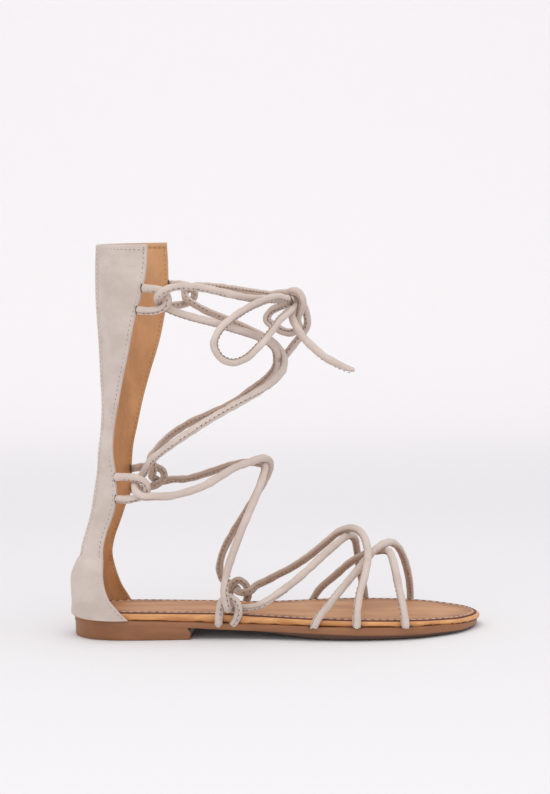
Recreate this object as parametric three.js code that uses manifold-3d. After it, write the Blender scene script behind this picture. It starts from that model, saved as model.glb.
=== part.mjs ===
// A flat gladiator sandal: a hollow heel shaft open down the front, a leather-wrapped footbed on
// a moulded outsole and heel, round suede straps joined where they cross, one long lace that hooks
// through six cord loops, and its bow. Millimetres, +X to the toe, +Y to the inner side, +Z up.
import * as THREE from 'three';
import * as BufferGeometryUtils from 'three/addons/utils/BufferGeometryUtils.js';
import Module from 'manifold-3d';

const CORD = 4.8;           // diameter of the round suede straps, lace and loops
const GAP = 0.35;           // clearance between pieces that meet
const WALL = 2.3;           // suede and lining of the shaft together
const CORD_SIDES = 8;
const STRAP_STEP = 6;       // length of one segment of a joined strap or lace
const BOW_STEP = 12;        // the same, on the loose bow
const COVER_THICK = 1.0;    // leather cover of the footbed
const COVER_INSET = 2.4;    // from the footbed's edge to its stitched groove
const PAD_INSET = 7;        // from the outsole's edge to the flat it stands on
const HEEL_FRONT = -53;     // x of the heel's front face
const HEEL_TOP_GAP = 0.3;
const SEGMENTS = 3;         // outline points between two rows of a table
const SHAFT_ARC = 18;       // facets round the shaft

// Footbed outline: x, half-widths to the outer and inner side, and how far the outsole stands out.
const OUTLINE = [
  { x: -124.8, outer: 0, inner: 0, ledge: 1.0 },
  { x: -121.5, outer: 10.5, inner: 10.5, ledge: 1.2 },
  { x: -114, outer: 18.4, inner: 18.4, ledge: 1.6 },
  { x: -104, outer: 23, inner: 23, ledge: 2.2 },
  { x: -90, outer: 25.2, inner: 25, ledge: 2.4 },
  { x: -70, outer: 25.8, inner: 25, ledge: 2.6 },
  { x: -50, outer: 26, inner: 24, ledge: 2.8 },
  { x: -30, outer: 27, inner: 23.6, ledge: 3 },
  { x: -10, outer: 30, inner: 25.4, ledge: 3 },
  { x: 10, outer: 35, inner: 31, ledge: 3 },
  { x: 30, outer: 39.8, inner: 37, ledge: 3 },
  { x: 50, outer: 42, inner: 40.6, ledge: 3 },
  { x: 70, outer: 41.4, inner: 41.6, ledge: 2.8 },
  { x: 86, outer: 38, inner: 40.2, ledge: 2.6 },
  { x: 100, outer: 31.5, inner: 36.4, ledge: 1.6 },
  { x: 112, outer: 23.4, inner: 30.4, ledge: 0.6 },
  { x: 119.6, outer: 14, inner: 25, ledge: -0.4 },
  { x: 124.8, outer: 4, inner: 16.6, ledge: -1.2 },
  { x: 127, outer: -6.5, inner: 6.5, ledge: -1.6 },
];

// Heights along the sole: top of the footbed, top of the outsole, and the outsole's underside at
// its edge and under its middle, where the forefoot stands flat.
const LEVELS = [
  { x: -130, footbed: 16.6, outsole: 12.0, edge: 9.2, middle: 9.2 },
  { x: -90, footbed: 16.5, outsole: 11.8, edge: 9.1, middle: 9.1 },
  { x: -68, footbed: 16.0, outsole: 11.2, edge: 8.4, middle: 8.4 },
  { x: -50, footbed: 15.6, outsole: 10.5, edge: 7.5, middle: 7.5 },
  { x: -36, footbed: 15.2, outsole: 9.9, edge: 7.0, middle: 6.7 },
  { x: -12, footbed: 13.9, outsole: 9.3, edge: 6.0, middle: 4.7 },
  { x: 10, footbed: 13.1, outsole: 8.9, edge: 5.1, middle: 1.8 },
  { x: 27, footbed: 12.7, outsole: 8.6, edge: 4.4, middle: 0 },
  { x: 50, footbed: 12.1, outsole: 8.3, edge: 3.6, middle: 0 },
  { x: 76, footbed: 11.2, outsole: 7.6, edge: 3.0, middle: 0 },
  { x: 98, footbed: 10.1, outsole: 7.0, edge: 2.6, middle: 0 },
  { x: 114, footbed: 9.0, outsole: 5.8, edge: 1.9, middle: 0.2 },
  { x: 130, footbed: 8.0, outsole: 4.6, edge: 1.2, middle: 0.8 },
];

// Heel block outline, from its back round to the corners of its front face.
const HEEL = [
  { x: -124.6, half: 0 },
  { x: -121.6, half: 10 },
  { x: -114, half: 19 },
  { x: -103, half: 24.2 },
  { x: -88, half: 26.6 },
  { x: -70, half: 27.4 },
  { x: HEEL_FRONT, half: 27.2 },
];

// The shaft, from its top down: x of its back, radius round the heel, and x of its two front edges.
const SHAFT = [
  { z: 242, back: -106, radius: 41, outer: -73, inner: -65 },
  { z: 226, back: -106.8, radius: 41, outer: -74.3, inner: -64.5 },
  { z: 210, back: -107, radius: 40.5, outer: -78, inner: -65 },
  { z: 195, back: -106.5, radius: 39, outer: -82.7, inner: -67.6 },
  { z: 180, back: -105.8, radius: 37, outer: -86.2, inner: -71 },
  { z: 160, back: -105.4, radius: 34, outer: -91.2, inner: -77.5 },
  { z: 144, back: -105, radius: 31.5, outer: -95, inner: -82.2 },
  { z: 128, back: -106, radius: 30, outer: -98.2, inner: -86 },
  { z: 115, back: -107.8, radius: 29, outer: -99, inner: -89 },
  { z: 102, back: -108.9, radius: 28.5, outer: -97.3, inner: -90.2 },
  { z: 88, back: -111.3, radius: 28, outer: -96.8, inner: -90.2 },
  { z: 77, back: -113.3, radius: 28, outer: -99.2, inner: -94.6 },
  { z: 66, back: -116.5, radius: 28, outer: -103.6, inner: -98.6 },
  { z: 57, back: -119.4, radius: 28, outer: -105.8, inner: -102 },
  { z: 48, back: -121.6, radius: 28, outer: -105.6, inner: -103.8 },
  { z: 38, back: -126.4, radius: 29, outer: -104.4, inner: -102.2 },
  { z: 27, back: -127.5, radius: 29.6, outer: -101, inner: -98.4 },
  { z: 19, back: -127.9, radius: 30, outer: -95.8, inner: -94 },
  { z: 12.4, back: -127.8, radius: 30, outer: -90.6, inner: -90 },
];

// Routes of the toe straps, x, y, z: the over strap from the outer side, and the one under it.
const TOE_OVER = [
  [22, -41.6, 9.5], [22.6, -41.6, 16], [30, -38, 25], [40, -31, 34.5], [50.5, -21, 43.5],
  [61, -9, 51], [71, 2, 54.5], [77.5, 14, 50.5], [81.5, 26, 40], [84.5, 36, 26.5],
  [86, 42, 15], [86, 43.4, 8.4],
];
const TOE_UNDER = [
  [78, -43.3, 8.4], [77.5, -41, 18], [76, -32.5, 32], [74, -19, 44], [70.5, -4, 49.8],
  [64.5, 7, 48.4], [57, 17, 43.8], [48, 26, 36.5], [37.6, 33.5, 27.5], [26.4, 37.9, 18.4],
  [22, 38.6, 9.6],
];

// Each hook is drawn on the outer side, side -1, and mirrored to the inner one, a little forward.
const ARCH_SHIFT = 5;
const MID_SHIFT = 7;
const TOP_SHIFT = 12.5;
const ARCH_LOOP = [
  [-35.6, -30.2, 10.3], [-35.6, -30.4, 17], [-34.2, -30.8, 23.5], [-30, -31, 26.6],
  [-25.8, -30.8, 23.5], [-24.4, -30.4, 17], [-24.4, -30.2, 9.9],
];
const MID_LOOP = [
  [-95.4, -24.4, 100.4], [-90, -27.4, 100.6], [-83, -30.6, 99.8], [-77.4, -32.6, 96],
  [-77.2, -32.6, 91], [-83, -30.6, 87.4], [-90, -27.4, 86.6], [-95.4, -24.4, 87],
];
const TOP_LOOP = [
  [-75.2, -39.2, 215.6], [-70, -42, 215.2], [-63.6, -44.4, 213.6], [-60.8, -46, 208.6],
  [-63.6, -44.8, 204.2], [-70, -42, 202.2], [-77.2, -38.6, 202.4],
];
const ARCH_HOOK = [
  [-9, -31.5, 22.4], [-16, -27.2, 20], [-21.5, -24.6, 18.6], [-26.2, -24.4, 18.4],
  [-29.8, -28, 18.4], [-30.6, -33.4, 19.2], [-31.4, -37, 23], [-31.8, -38, 30],
  [-31, -37, 38], [-30.4, -36, 46],
];
const MID_HOOK = [
  [-53, -38, 91.8], [-63, -38.6, 89.4], [-72, -38.8, 88.4], [-79, -38.4, 89],
  [-83, -36.2, 91], [-84.6, -30.4, 93.6], [-83.4, -25.2, 97.2], [-78.8, -24, 102],
  [-73, -29, 108],
];
const TOP_HOOK = [
  [-31.6, -40.4, 193.6], [-44, -40.6, 197], [-54, -38.6, 199.8], [-62, -37.4, 202.8],
  [-66.6, -38.6, 206], [-68, -43, 208.8], [-67.4, -48.4, 211], [-62.4, -50.6, 214.8],
  [-54, -50.2, 216.6],
];

// The lace between its hooks. Its over strand starts at the outer side, its under strand at the
// inner one, and they cross on the vamp, the instep and the shin.
const VAMP_OVER = [
  [48, -45.1, 9.2], [49, -43.8, 18], [52, -41, 28], [56, -34, 40], [58, -24, 53],
  [55.5, -13, 62.2], [49, -4, 65.8], [41, 3.5, 62.5], [32, 12, 54.4], [21, 20.5, 45],
  [9, 27.5, 35.5],
];
const VAMP_UNDER = [
  [56, 44.3, 9.1], [55, 43, 18], [53, 40, 28], [52, 33, 39], [51, 23.5, 50], [50, 12, 57.5],
  [46, 1, 60.3], [39, -7, 56.4], [30, -15, 48.6], [20, -22, 41], [9, -28.4, 33],
];
const INSTEP_OVER = [
  [-22, 35, 61], [-14, 30, 77], [-5.5, 22, 91], [-0.8, 12.5, 101], [-2.4, 2.5, 107.6],
  [-7.5, -6, 109.2], [-15, -15.5, 107.6], [-24, -25, 104.2], [-34, -32, 99.4], [-43.5, -36.4, 95],
];
const INSTEP_UNDER = [
  [-25, -34.4, 60.5], [-18.5, -30.5, 73.5], [-12, -23.5, 86], [-7.4, -13, 97.6],
  [-6, -3, 104.3], [-10.5, 7, 105.6], [-18, 16.5, 104.4], [-27, 26, 101.4], [-37, 33, 97],
];
const SHIN_OVER = [
  [-61, -39.6, 118.4], [-50, -42, 126], [-38, -42, 133.7], [-25, -40, 141],
  [-12.8, -36.5, 147.2], [-2.6, -30, 152.4], [4.4, -20.5, 158], [8.6, -9, 164.2],
  [8.4, 3, 171], [1.6, 14.6, 178.6], [-9, 26, 184.6], [-20.5, 35, 189.4],
];
const SHIN_UNDER = [
  [-53, 41.6, 126.4], [-40, 41.6, 134], [-27, 38.4, 141.4], [-15, 32, 148.8], [-5.6, 23, 156],
  [0.8, 12, 163], [4.6, -1, 169.3], [2.4, -11, 177.6], [-5, -20.5, 183], [-15, -30, 187.2],
  [-23, -36, 190.4],
];
const RUN_OVER = [
  [-28, 41, 214.4], [-17, 32, 212.4], [-5.6, 21.4, 210.8], [3, 12, 209.4], [8.6, 5, 208],
];
const RUN_UNDER = [
  [-38.8, -45, 215], [-27, -38.5, 211.8], [-13, -27.5, 208.2], [-1, -17, 206.8], [6, -9.8, 206],
];

// The bow: its knot, two loops and two ends.
const KNOT = { centre: [14, -3.4, 203.4], size: [9, 12, 15] };
const BOW_OUTER = [
  [9.4, -12, 206.8], [3.4, -19.6, 208.2], [-5, -27.6, 206], [-13.5, -35.6, 202.6],
  [-23.7, -43.6, 196.4], [-31, -48.6, 189.6], [-34, -50.6, 182], [-31, -51, 174.6],
  [-24, -50, 170.8], [-16, -47, 172.6], [-8.5, -41, 178.6], [-1, -34, 186.6],
  [5.6, -25, 194.4], [10.6, -13, 200],
];
const BOW_INNER = [
  [11.6, 4.6, 204], [6.8, 8.4, 201.6], [0.4, 11, 198.6], [-2.6, 12, 193.4], [3.4, 11.5, 188],
  [9.4, 9, 185.2], [14.4, 6, 185.6], [17.2, 3, 189.4], [16, 0.6, 194.2],
];
const END_OUTER = [
  [11.6, -9.6, 195.4], [15.4, -15, 188.6], [20, -18, 182.8], [26.3, -20, 176.5],
  [32.5, -21.5, 171.2], [39, -22, 167.5], [45, -22, 164.6], [50.5, -22, 162.8],
];
const END_INNER = [
  [20, 1.4, 202.6], [22, 4, 196.6], [22.6, 6.4, 190.6], [20, 9, 184.8], [15.4, 12, 179],
  [10.4, 15.6, 172.6], [5, 19, 166],
];

const wasm = await Module();
wasm.setup();

const suede = new THREE.MeshStandardMaterial({ color: 0xcabbb1, roughness: 0.95, metalness: 0 });
const brown = new THREE.MeshStandardMaterial({ color: 0x8e6047, roughness: 0.7, metalness: 0 });
const tan = new THREE.MeshStandardMaterial({ color: 0xcd9363, roughness: 0.6, metalness: 0 });
const footbedTan = new THREE.MeshStandardMaterial({ color: 0xc29476, roughness: 0.6, metalness: 0 });

// Value of one column of a table at x, on a smooth curve through its rows.
function column(table, name) {
  const points = table.map((row) => new THREE.Vector3(row.x, row[name], 0));
  const line = new THREE.CatmullRomCurve3(points, false, 'centripetal').getPoints(table.length * 8);
  return (x) => {
    const i = Math.max(1, line.findIndex((p) => p.x >= x));
    const t = THREE.MathUtils.clamp((x - line[i - 1].x) / (line[i].x - line[i - 1].x), 0, 1);
    return THREE.MathUtils.lerp(line[i - 1].y, line[i].y, t);
  };
}

// Closed outline in order round the outer side to the toe and back along the inner side.
function footbedOutline() {
  const outerSide = OUTLINE.map((row) => new THREE.Vector3(row.x, -row.outer, 0));
  const innerSide = OUTLINE.slice(1, -1).reverse().map((row) => new THREE.Vector3(row.x, row.inner, 0));
  const loop = new THREE.CatmullRomCurve3([...outerSide, ...innerSide], true, 'centripetal');
  const ring = loop.getPoints((outerSide.length + innerSide.length) * SEGMENTS);
  ring.pop();
  return ring;
}

function heelOutline() {
  const outerSide = HEEL.map((row) => new THREE.Vector3(row.x, -row.half, 0));
  const innerSide = HEEL.slice(1).reverse().map((row) => new THREE.Vector3(row.x, row.half, 0));
  const round = new THREE.CatmullRomCurve3([...innerSide, ...outerSide], false, 'centripetal');
  const points = round.getPoints((innerSide.length + outerSide.length - 1) * SEGMENTS);
  const back = (points.length - 1) / 2;
  return [...points.slice(back), ...points.slice(0, back)];
}

// The outline moved inwards by a distance, which may change with x.
function inset(ring, distance) {
  return ring.map((point, i) => {
    const before = ring[(i + ring.length - 1) % ring.length];
    const after = ring[(i + 1) % ring.length];
    const along = new THREE.Vector2(after.x - before.x, after.y - before.y).normalize();
    const amount = distance(point.x);
    return new THREE.Vector3(point.x - along.y * amount, point.y + along.x * amount, 0);
  });
}

function solidFrom(positions, indices) {
  const geometry = new THREE.BufferGeometry();
  geometry.setAttribute('position', new THREE.Float32BufferAttribute(positions, 3));
  geometry.setIndex(indices);
  geometry.computeVertexNormals();
  return geometry;
}

// A layer of the sole: rings of points from its underside up, closed by a cap at each end. A cap
// joins each point to the one straight across, so it follows the height along the sole.
function layer(rings) {
  const count = rings[0].length;
  const odd = count % 2;
  const positions = rings.flat().flatMap((p) => [p.x, p.y, p.z]);
  const indices = [];
  for (let r = 0; r + 1 < rings.length; r += 1) {
    for (let i = 0; i < count; i += 1) {
      const j = (i + 1) % count;
      const low = r * count;
      const high = low + count;
      indices.push(low + i, low + j, high + j, low + i, high + j, high + i);
    }
  }
  const top = (rings.length - 1) * count;
  for (let i = 0; i < (count - odd) / 2; i += 1) {
    const across = (count - i) % count;
    const next = i + 1;
    const acrossNext = count - next;
    if (across !== i) {
      indices.push(i, across, next, top + i, top + next, top + across);
    }
    if (acrossNext !== next) {
      indices.push(across, acrossNext, next, top + across, top + next, top + acrossNext);
    }
  }
  return solidFrom(positions, indices);
}

const height = Object.fromEntries(
  ['footbed', 'outsole', 'edge', 'middle'].map((name) => [name, column(LEVELS, name)]));
const ledge = column(OUTLINE, 'ledge');

function ringAt(outline, distance, level) {
  return inset(outline, distance).map((p) => new THREE.Vector3(p.x, p.y, level(p.x)));
}

function outsole() {
  const outline = inset(footbedOutline(), (x) => -ledge(x));
  const underside = (x) => Math.max(0, height.middle(x));
  return layer([
    ringAt(outline, () => PAD_INSET, underside),
    ringAt(outline, () => PAD_INSET / 3, (x) => THREE.MathUtils.lerp(height.edge(x), underside(x), 0.62)),
    ringAt(outline, () => 0.4, height.edge),
    ringAt(outline, () => 0, (x) => height.edge(x) + 0.8),
    ringAt(outline, () => 0, (x) => height.outsole(x) - 0.5),
    ringAt(outline, () => 0.5, height.outsole),
  ]);
}

function heelBlock() {
  const outline = heelOutline();
  const rise = (x) => height.edge(x) - HEEL_TOP_GAP;
  return layer([
    ringAt(outline, () => 0.8, () => 0),
    ringAt(outline, () => 0, () => 0.8),
    ringAt(outline, () => 0, rise),
  ]);
}

function wrappedFootbed() {
  const outline = footbedOutline();
  return layer([
    ringAt(outline, () => 0.8, (x) => height.outsole(x) + GAP),
    ringAt(outline, () => 0, (x) => height.outsole(x) + GAP + 0.8),
    ringAt(outline, () => 0, (x) => height.footbed(x) - 1.8),
    ringAt(outline, () => 0.9, (x) => height.footbed(x) - 0.9),
  ]);
}

function footbedCover() {
  const outline = footbedOutline();
  const under = (x) => height.footbed(x) - 0.9 + GAP;
  return layer([
    ringAt(outline, () => COVER_INSET, under),
    ringAt(outline, () => COVER_INSET, (x) => under(x) + COVER_THICK - 0.3),
    ringAt(outline, () => COVER_INSET + 0.4, (x) => under(x) + COVER_THICK),
  ]);
}

// One level of the shaft: along its outside from the outer edge round the back to the inner edge,
// then back along its inside.
function shaftSection(row) {
  const centre = row.back + row.radius;
  const angleTo = (x, r) => Math.acos(THREE.MathUtils.clamp((centre - x) / r, -1, 1));
  const arc = (r) => {
    const from = -angleTo(row.outer, row.radius);
    const to = angleTo(row.inner, row.radius);
    return Array.from({ length: SHAFT_ARC + 1 }, (_, i) => {
      const a = THREE.MathUtils.lerp(from, to, i / SHAFT_ARC);
      return new THREE.Vector3(centre - r * Math.cos(a), r * Math.sin(a), row.z);
    });
  };
  return [...arc(row.radius), ...arc(row.radius - WALL).reverse()];
}

function shaft() {
  const sections = SHAFT.map(shaftSection).reverse();
  const count = sections[0].length;
  const positions = sections.flat().flatMap((p) => [p.x, p.y, p.z]);
  const indices = [];
  for (let r = 0; r + 1 < sections.length; r += 1) {
    for (let i = 0; i < count; i += 1) {
      const j = (i + 1) % count;
      const low = r * count;
      const high = low + count;
      indices.push(low + i, high + j, low + j, low + i, high + i, high + j);
    }
  }
  const top = (sections.length - 1) * count;
  for (let i = 0; i < SHAFT_ARC; i += 1) {
    const a = i;
    const b = i + 1;
    const c = count - 2 - i;
    const d = count - 1 - i;
    indices.push(a, b, c, a, c, d, top + a, top + c, top + b, top + a, top + d, top + c);
  }
  return solidFrom(positions, indices);
}

function routeLength(points) {
  return new THREE.CatmullRomCurve3(points, false, 'centripetal').getLength();
}

// A round cord along a route, in segments of about the given length.
function cord(route, step) {
  const points = route.map((p) => new THREE.Vector3(...p));
  const section = new THREE.Shape();
  section.absarc(0, 0, CORD / 2, 0, Math.PI * 2);
  const outline = new THREE.Shape(section.getPoints(CORD_SIDES).slice(0, CORD_SIDES));
  return new THREE.ExtrudeGeometry(outline, {
    steps: Math.round(routeLength(points) / step),
    bevelEnabled: false,
    extrudePath: new THREE.CatmullRomCurve3(points, false, 'centripetal'),
  });
}

const mirrored = (route, shift) => route.map(([x, y, z]) => [x + shift, -y, z]);

function asManifold(geometry) {
  const bare = geometry.clone();
  bare.deleteAttribute('normal');
  bare.deleteAttribute('uv');
  const merged = BufferGeometryUtils.mergeVertices(bare, 1e-4);
  return new wasm.Manifold(new wasm.Mesh({
    numProp: 3,
    vertProperties: Float32Array.from(merged.attributes.position.array),
    triVerts: Uint32Array.from(merged.index.array),
  }));
}

function joined(first, second) {
  const mesh = asManifold(first).add(asManifold(second)).getMesh();
  return solidFrom(Array.from(mesh.vertProperties), Array.from(mesh.triVerts));
}

function lace() {
  const over = [
    ...VAMP_OVER, ...mirrored(ARCH_HOOK, ARCH_SHIFT), ...INSTEP_OVER, ...MID_HOOK.slice(1),
    ...SHIN_OVER, ...mirrored(TOP_HOOK, TOP_SHIFT), ...RUN_OVER,
  ];
  const under = [
    ...VAMP_UNDER, ...ARCH_HOOK, ...INSTEP_UNDER, ...mirrored(MID_HOOK, MID_SHIFT),
    ...SHIN_UNDER, ...TOP_HOOK, ...RUN_UNDER,
  ];
  return joined(cord(over, STRAP_STEP), cord(under, STRAP_STEP));
}

function knot() {
  const geometry = new THREE.SphereGeometry(0.5, 10, 8);
  geometry.scale(...KNOT.size);
  geometry.translate(...KNOT.centre);
  return geometry;
}

const sandal = new THREE.Group();

function add(name, geometry, material) {
  const mesh = new THREE.Mesh(geometry, material);
  mesh.name = name;
  sandal.add(mesh);
}

add('heel_block', heelBlock(), brown);
add('outsole', outsole(), brown);
add('wrapped_footbed', wrappedFootbed(), tan);
add('footbed_cover', footbedCover(), footbedTan);
add('heel_shaft', shaft(), suede);
add('toe_straps', joined(cord(TOE_OVER, STRAP_STEP), cord(TOE_UNDER, STRAP_STEP)), suede);
add('lace', lace(), suede);
for (const [name, route, shift] of [
  ['arch_loop', ARCH_LOOP, ARCH_SHIFT], ['mid_loop', MID_LOOP, MID_SHIFT], ['top_loop', TOP_LOOP, TOP_SHIFT],
]) {
  add(`${name}_outer`, cord(route, CORD), suede);
  add(`${name}_inner`, cord(mirrored(route, shift), CORD), suede);
}
add('bow_knot', knot(), suede);
for (const [name, route] of [
  ['bow_loop_outer', BOW_OUTER], ['bow_loop_inner', BOW_INNER],
  ['lace_end_outer', END_OUTER], ['lace_end_inner', END_INNER],
]) {
  add(name, cord(route, BOW_STEP), suede);
}

export default sandal;
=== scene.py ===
# %% [markdown]
# # A gladiator sandal
# A flat sandal with a stiff suede shaft up the heel, open down the front. Round suede straps
# cross over the toes, and one long lace hooks through six cord loops, crosses on the vamp, the
# instep and the shin, and ends in a bow. Each cell makes one of its pieces or one finish.
# +X points to the toe, +Y to the foot's inner side and +Z up. Sizes are written in millimetres
# and turned to metres when a mesh is made.

import math

import bmesh
import bpy
import numpy as np
from mathutils import Matrix, Vector


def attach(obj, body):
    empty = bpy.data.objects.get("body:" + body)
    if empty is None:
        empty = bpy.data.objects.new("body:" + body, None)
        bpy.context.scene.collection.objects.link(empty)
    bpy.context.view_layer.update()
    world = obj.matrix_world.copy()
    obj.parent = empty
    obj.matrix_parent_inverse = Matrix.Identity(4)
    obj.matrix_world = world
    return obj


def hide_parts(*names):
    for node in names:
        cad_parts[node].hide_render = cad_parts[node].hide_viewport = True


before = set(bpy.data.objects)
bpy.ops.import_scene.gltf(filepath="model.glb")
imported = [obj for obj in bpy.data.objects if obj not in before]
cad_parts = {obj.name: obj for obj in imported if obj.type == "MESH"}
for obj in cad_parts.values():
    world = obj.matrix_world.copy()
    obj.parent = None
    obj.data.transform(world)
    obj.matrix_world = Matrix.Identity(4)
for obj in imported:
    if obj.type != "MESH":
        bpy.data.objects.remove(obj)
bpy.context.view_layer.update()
MM = 0.001
BODY = "root"
rng = np.random.default_rng(7)

# %% [markdown]
# ## The camera
# A long lens from a little over a metre away keeps the shoe's proportions nearly flat. The
# camera stands level with the top of the shaft and looks slightly down. It is rolled by about a
# degree, so the shoe keeps the slight lean it is shown with while it stands flat on its sole.

# %% Camera
CAMERA_PLACE = np.array([3.7, -1350.0, 255.2])
CAMERA_AIM = np.array([1.6, 0.0, 145.7])
CAMERA_ROLL = math.radians(1.1)
CAMERA_LENS = 99.24

right = Vector((math.cos(CAMERA_ROLL), 0, -math.sin(CAMERA_ROLL)))
ahead = Vector(CAMERA_AIM - CAMERA_PLACE).normalized()
over = right.cross(ahead).normalized()
right = ahead.cross(over)
camera_data = bpy.data.cameras.new("camera")
camera_data.lens = CAMERA_LENS
camera_data.clip_end = 20
camera = bpy.data.objects.new("camera", camera_data)
turn = Matrix((right, over, -ahead)).transposed().to_4x4()
camera.matrix_world = Matrix.Translation(Vector(CAMERA_PLACE) * MM) @ turn
bpy.context.collection.objects.link(camera)
bpy.context.scene.camera = camera
print("camera at", [round(v, 3) for v in camera.location])

# %% [markdown]
# ## Curves through a few points
# Straps, edges and outlines are all smooth lines through short lists of points. A centripetal
# Catmull-Rom spline passes through every point without loops or overshoot. It is written here
# as whole arrays: each span is a Hermite curve whose end slopes come from its neighbours.

# %% Smooth lines
def smooth_line(rows, per_span=12, closed=False):
    """Points on a centripetal Catmull-Rom spline, per_span of them between two rows."""
    rows = np.asarray(rows, dtype=float)
    if closed:
        padded = np.vstack([rows[-1:], rows, rows[:2]])
    else:
        padded = np.vstack([2 * rows[:1] - rows[1:2], rows, 2 * rows[-1:] - rows[-2:-1]])
    a, b, c, d = padded[:-3], padded[1:-2], padded[2:-1], padded[3:]
    spans = ((a, b), (b, c), (c, d))
    knots = [np.sqrt(np.linalg.norm(q - p, axis=1, keepdims=True)) for p, q in spans]
    before, here, after = (np.maximum(k, 1e-9) for k in knots)
    leave = ((b - a) / before - (c - a) / (before + here) + (c - b) / here) * here
    arrive = ((c - b) / here - (d - b) / (here + after) + (d - c) / after) * here
    t = (np.arange(per_span) / per_span)[None, :, None]
    line = (
        (2 * t**3 - 3 * t**2 + 1) * b[:, None]
        + (t**3 - 2 * t**2 + t) * leave[:, None]
        + (3 * t**2 - 2 * t**3) * c[:, None]
        + (t**3 - t**2) * arrive[:, None]
    ).reshape(-1, rows.shape[1])
    return line if closed else np.vstack([line, rows[-1:]])


def measured(line):
    """Distance along a line at each of its points."""
    return np.concatenate([[0], np.cumsum(np.linalg.norm(np.diff(line, axis=0), axis=1))])


def evenly(line, step):
    """The same line with its points an equal distance apart, close to step."""
    along = measured(line)
    count = max(2, int(round(along[-1] / step)) + 1)
    even = np.linspace(0, along[-1], count)
    return np.stack([np.interp(even, along, line[:, k]) for k in range(line.shape[1])], axis=1)


def unit(vectors):
    return vectors / np.maximum(np.linalg.norm(vectors, axis=-1, keepdims=True), 1e-12)


# %% [markdown]
# ## From arrays to meshes
# Every piece is a grid of points, and its faces follow from the grid's shape. One function
# writes the faces of a grid, another closes two grids into a body, and the last one makes the
# object, welds points that meet and turns all faces outwards.

# %% Grids to meshes
def grid_faces(rows, columns, around=False, first=0):
    """Quads of a grid of points, row by row. around joins the last column to the first."""
    i = np.arange(rows - 1)[:, None] * columns
    j = np.arange(columns if around else columns - 1)[None, :]
    k = (j + 1) % columns
    quads = np.stack([i + j, i + k, i + columns + k, i + columns + j], axis=-1)
    return quads.reshape(-1, 4) + first


def closed_body(top, bottom):
    """Vertices and faces of the body between two grids of the same shape."""
    rows, columns = top.shape[:2]
    under = rows * columns
    border = np.concatenate([
        np.arange(columns - 1),
        np.arange(rows - 1) * columns + columns - 1,
        under - 1 - np.arange(columns - 1),
        (rows - 1 - np.arange(rows - 1)) * columns,
    ])
    after = np.roll(border, -1)
    rim = np.stack([after, border, border + under, after + under], axis=-1)
    faces = np.vstack([
        grid_faces(rows, columns),
        grid_faces(rows, columns, first=under)[:, ::-1],
        rim,
    ])
    return np.concatenate([top.reshape(-1, 3), bottom.reshape(-1, 3)]), faces


def make_piece(name, vertices, faces, material, slot, stands_for=(), values=None, smooth=50):
    """An object from points in millimetres; values are named numbers at its points."""
    mesh = bpy.data.meshes.new(name)
    faces = faces.tolist() if isinstance(faces, np.ndarray) else faces
    mesh.from_pydata((np.asarray(vertices) * MM).tolist(), [], faces)
    for key, numbers in (values or {}).items():
        layer = mesh.attributes.new(key, "FLOAT", "POINT")
        layer.data.foreach_set("value", np.asarray(numbers, dtype=np.float32).ravel())
    work = bmesh.new()
    work.from_mesh(mesh)
    bmesh.ops.remove_doubles(work, verts=work.verts, dist=1e-7)
    bmesh.ops.dissolve_degenerate(work, edges=work.edges, dist=1e-8)
    bmesh.ops.recalc_face_normals(work, faces=work.faces)
    work.to_mesh(mesh)
    work.free()
    mesh.shade_smooth()
    mesh.set_sharp_from_angle(angle=math.radians(smooth))
    mesh.materials.append(material)
    piece = bpy.data.objects.new(name, mesh)
    bpy.context.collection.objects.link(piece)
    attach(piece, BODY)
    if stands_for:
        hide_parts(*stands_for)
    print(f"{name}: {len(mesh.polygons)} faces")
    return piece


# %% [markdown]
# ## Nodes and colours
# Colours are written as hex values, and turned to the linear values that light needs. One small
# function adds a shader node with its settings and links.

# %% Nodes and colours
def colour(hex_code):
    """sRGB hex to linear RGBA."""
    c = np.array([int(hex_code[i:i + 2], 16) for i in (1, 3, 5)]) / 255
    linear = np.where(c <= 0.04045, c / 12.92, ((c + 0.055) / 1.055) ** 2.4)
    return (*linear.tolist(), 1.0)


def node(tree, kind, settings=None, **inputs):
    """Adds a node; an input that is a socket is linked, any other is set on it."""
    made = tree.nodes.new(kind)
    for key, value in (settings or {}).items():
        setattr(made, key, value)
    for key, value in inputs.items():
        plain = key.replace("_", " ")
        if key[0] == "i" and key[1:].isdigit():
            socket = made.inputs[int(key[1:])]
        else:
            socket = made.inputs[plain]
        if isinstance(value, bpy.types.NodeSocket):
            tree.links.new(value, socket)
        else:
            socket.default_value = value
    return made


def new_material(name, **surface):
    """A material with one Principled shader; returns it with its tree and the shader."""
    material = bpy.data.materials.new(name)
    material.use_nodes = True
    tree = material.node_tree
    tree.nodes.clear()
    shader = node(tree, "ShaderNodeBsdfPrincipled", None, **surface)
    output = node(tree, "ShaderNodeOutputMaterial")
    tree.links.new(shader.outputs["BSDF"], output.inputs["Surface"])
    return material, tree, shader


def per_metre(size_mm):
    """Noise scale whose lumps are about the given size."""
    return 1 / (size_mm * MM)


def spots(tree, size_mm, detail=3.0, stretch=(1, 1, 1), roughness=0.55):
    """Noise on object coordinates with lumps of a real size, stretched along the axes."""
    place = node(tree, "ShaderNodeTexCoord").outputs["Object"]
    turned = node(tree, "ShaderNodeMapping", None, Vector=place, Scale=[1 / s for s in stretch])
    noise = node(tree, "ShaderNodeTexNoise", None, Vector=turned.outputs["Vector"],
                 Scale=per_metre(size_mm), Detail=detail, Roughness=roughness)
    return noise.outputs["Fac"]


def graded(tree, value, low, high, to_low=0.0, to_high=1.0):
    """A value carried smoothly from one range to another."""
    return node(tree, "ShaderNodeMapRange", {"interpolation_type": "SMOOTHSTEP"}, Value=value,
                From_Min=low, From_Max=high, To_Min=to_low, To_Max=to_high).outputs["Result"]


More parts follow.
